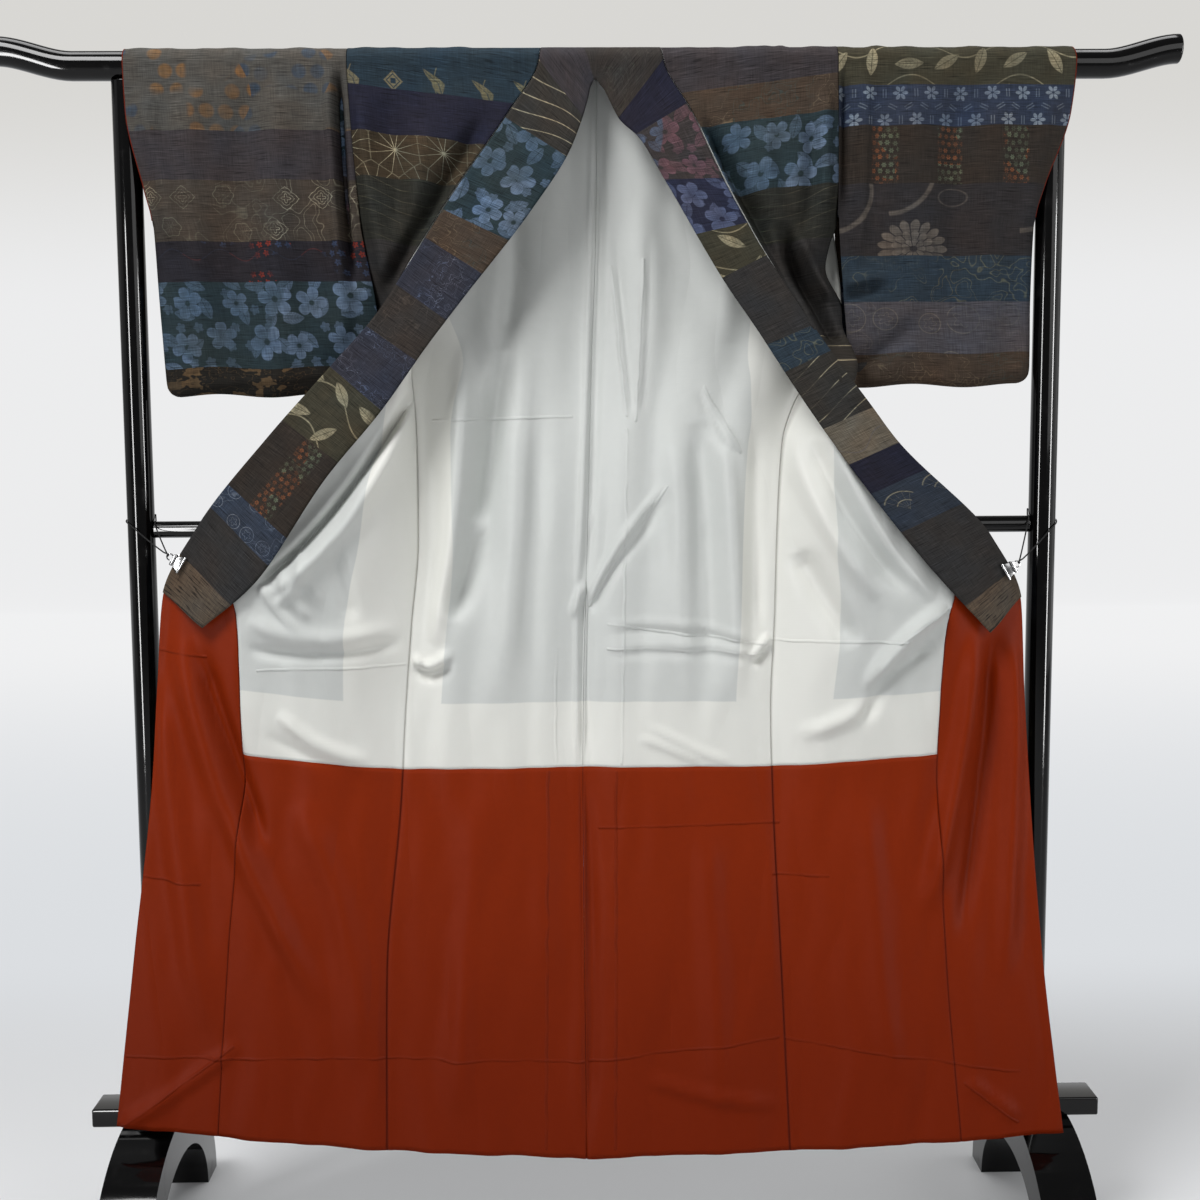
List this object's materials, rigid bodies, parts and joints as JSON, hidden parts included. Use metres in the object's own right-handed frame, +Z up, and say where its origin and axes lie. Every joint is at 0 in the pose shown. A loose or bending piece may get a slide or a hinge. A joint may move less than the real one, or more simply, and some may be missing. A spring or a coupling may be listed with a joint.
{
  "type": "silk kimono on a lacquered kimono stand",
  "caption": "Lined silk kimono hung open over the rail of a black lacquered stand, with banded outer cloth, white body lining and rust red skirt lining.",
  "frame": {"origin": "on the floor, at the middle of the stand's footprint", "axes": "+Z up; the open front of the kimono faces -Y; +X is to the right of someone facing the open front"},
  "size_m": [1.6348, 0.43, 1.7199],
  "materials": {
    "silk_outer": "slubbed silk in bands of dark grey, brown, blue and teal",
    "silk_white": "soft white silk lining",
    "silk_red": "rust red silk skirt lining",
    "lacquer": "black gloss lacquer",
    "chrome": "bright spring clip",
    "cord": "thin black cord"
  },
  "bodies": {
    "root": {"rail_top": "lacquer", "rail_middle": "lacquer", "beam_base": "lacquer", "post_left": "lacquer", "post_right": "lacquer", "foot_left": "lacquer", "foot_right": "lacquer", "collar": "silk_outer", "body_left": "silk_outer", "overlap_left": "silk_outer", "sleeve_left": "silk_outer", "lining_white_left": "silk_white", "lining_front_red_left": "silk_red", "lining_overlap_red_left": "silk_red", "lining_back_red_left": "silk_red", "cuff_edge_left": "silk_red", "clip_left": "chrome", "cord_left": "cord", "body_right": "silk_outer", "overlap_right": "silk_outer", "sleeve_right": "silk_outer", "lining_white_right": "silk_white", "lining_front_red_right": "silk_red", "lining_overlap_red_right": "silk_red", "lining_back_red_right": "silk_red", "cuff_edge_right": "silk_red", "clip_right": "chrome", "cord_right": "cord"}
  },
  "joints": []
}
